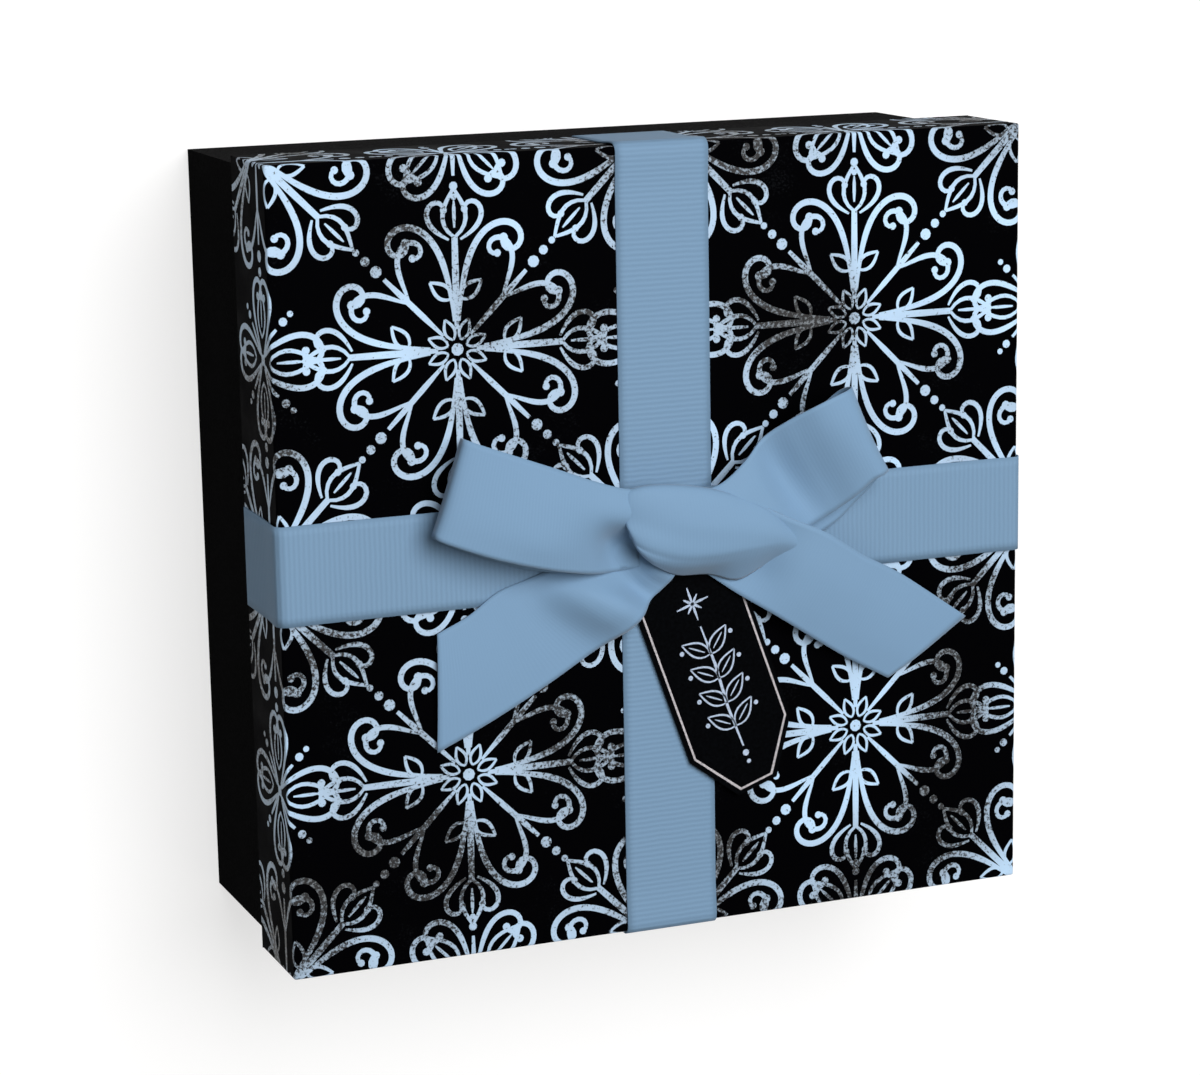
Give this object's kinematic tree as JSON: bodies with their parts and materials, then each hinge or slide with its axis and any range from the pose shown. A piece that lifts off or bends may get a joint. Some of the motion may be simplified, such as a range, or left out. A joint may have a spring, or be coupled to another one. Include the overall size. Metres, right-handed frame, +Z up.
{
  "type": "chocolate box",
  "caption": "Square two-layer chocolate box with a lift-off printed lid, crossed ribbon bands, a tied bow and a swinging card tag.",
  "frame": {"origin": "middle of the underside, on the surface that the box lies on", "axes": "+Z up through the lid, +X towards the bow's right tail and -Y towards the end of the tag, as seen looking down on the lid"},
  "size_m": [0.2038, 0.2038, 0.0928],
  "materials": {
    "greyboard": "unbleached greyboard, matt",
    "printed_paper": "black paper printed in light blue, matt",
    "black_paper": "black paper, matt",
    "liner_paper": "white paper, matt",
    "stay_paper": "kraft tape, matt",
    "ribbon": "light steel-blue grosgrain",
    "tag_card": "black card with a thin pale frame line, matt",
    "pad_paper": "dark brown embossed cushion pad, matt",
    "tray_card": "white card, matt",
    "divider_card": "white card, matt",
    "cup_paper": "dark brown fluted glassine",
    "cocoa_dusted": "cocoa powder, matt",
    "dark_chocolate": "dark chocolate, satin",
    "milk_chocolate": "milk chocolate, satin",
    "white_chocolate": "white chocolate, satin"
  },
  "bodies": {
    "base": {"base_board": "greyboard", "base_wrap": "black_paper", "base_liner": "liner_paper", "base_bottom_sheet": "black_paper", "base_corner_stays": "stay_paper", "lower_dividers_lengthwise": "divider_card", "lower_dividers_crosswise": "divider_card", "lower_paper_cups": "cup_paper", "lower_truffles": "cocoa_dusted", "lower_square_domes": "dark_chocolate", "lower_nut_pralines": "milk_chocolate", "lower_swirls": "white_chocolate", "lower_hexagons": "milk_chocolate"},
    "lid": {"lid_board": "greyboard", "lid_wrap": "printed_paper", "lid_liner": "liner_paper", "lid_corner_stays": "stay_paper", "ribbon_band_lower": "ribbon", "ribbon_band_upper": "ribbon", "bow_left_loop": "ribbon", "bow_right_loop": "ribbon", "bow_left_tail": "ribbon", "bow_right_tail": "ribbon", "bow_knot": "ribbon", "bow_stem": "ribbon"},
    "tag": {"tag": "tag_card"},
    "top_pad": {"top_pad": "pad_paper"},
    "upper_tray": {"upper_tray": "tray_card", "upper_dividers_lengthwise": "divider_card", "upper_dividers_crosswise": "divider_card", "upper_paper_cups": "cup_paper", "upper_truffles": "cocoa_dusted", "upper_square_domes": "dark_chocolate", "upper_nut_pralines": "milk_chocolate", "upper_swirls": "white_chocolate", "upper_hexagons": "milk_chocolate"},
    "layer_pad": {"layer_pad": "pad_paper"}
  },
  "joints": [
    {"name": "lid_lift", "type": "slide", "parent": "base", "child": "lid", "axis": [0, 0, 1], "range_m": [0, 0.3]},
    {"name": "top_pad_lift", "type": "slide", "parent": "base", "child": "top_pad", "axis": [0, 0, 1], "range_m": [0, 0.225]},
    {"name": "upper_tray_lift", "type": "slide", "parent": "base", "child": "upper_tray", "axis": [0, 0, 1], "range_m": [0, 0.15]},
    {"name": "layer_pad_lift", "type": "slide", "parent": "base", "child": "layer_pad", "axis": [0, 0, 1], "range_m": [0, 0.084]},
    {"name": "tag_swing", "type": "hinge", "parent": "lid", "child": "tag", "pos_m": [0.0007, 0.0015, 0.0795], "axis": [0, 0, 1], "range_deg": [-20, 20]}
  ],
  "couplings": [
    {"joint": "top_pad_lift", "follows": "lid_lift", "ratio": 0.75},
    {"joint": "upper_tray_lift", "follows": "lid_lift", "ratio": 0.5},
    {"joint": "layer_pad_lift", "follows": "lid_lift", "ratio": 0.28}
  ]
}
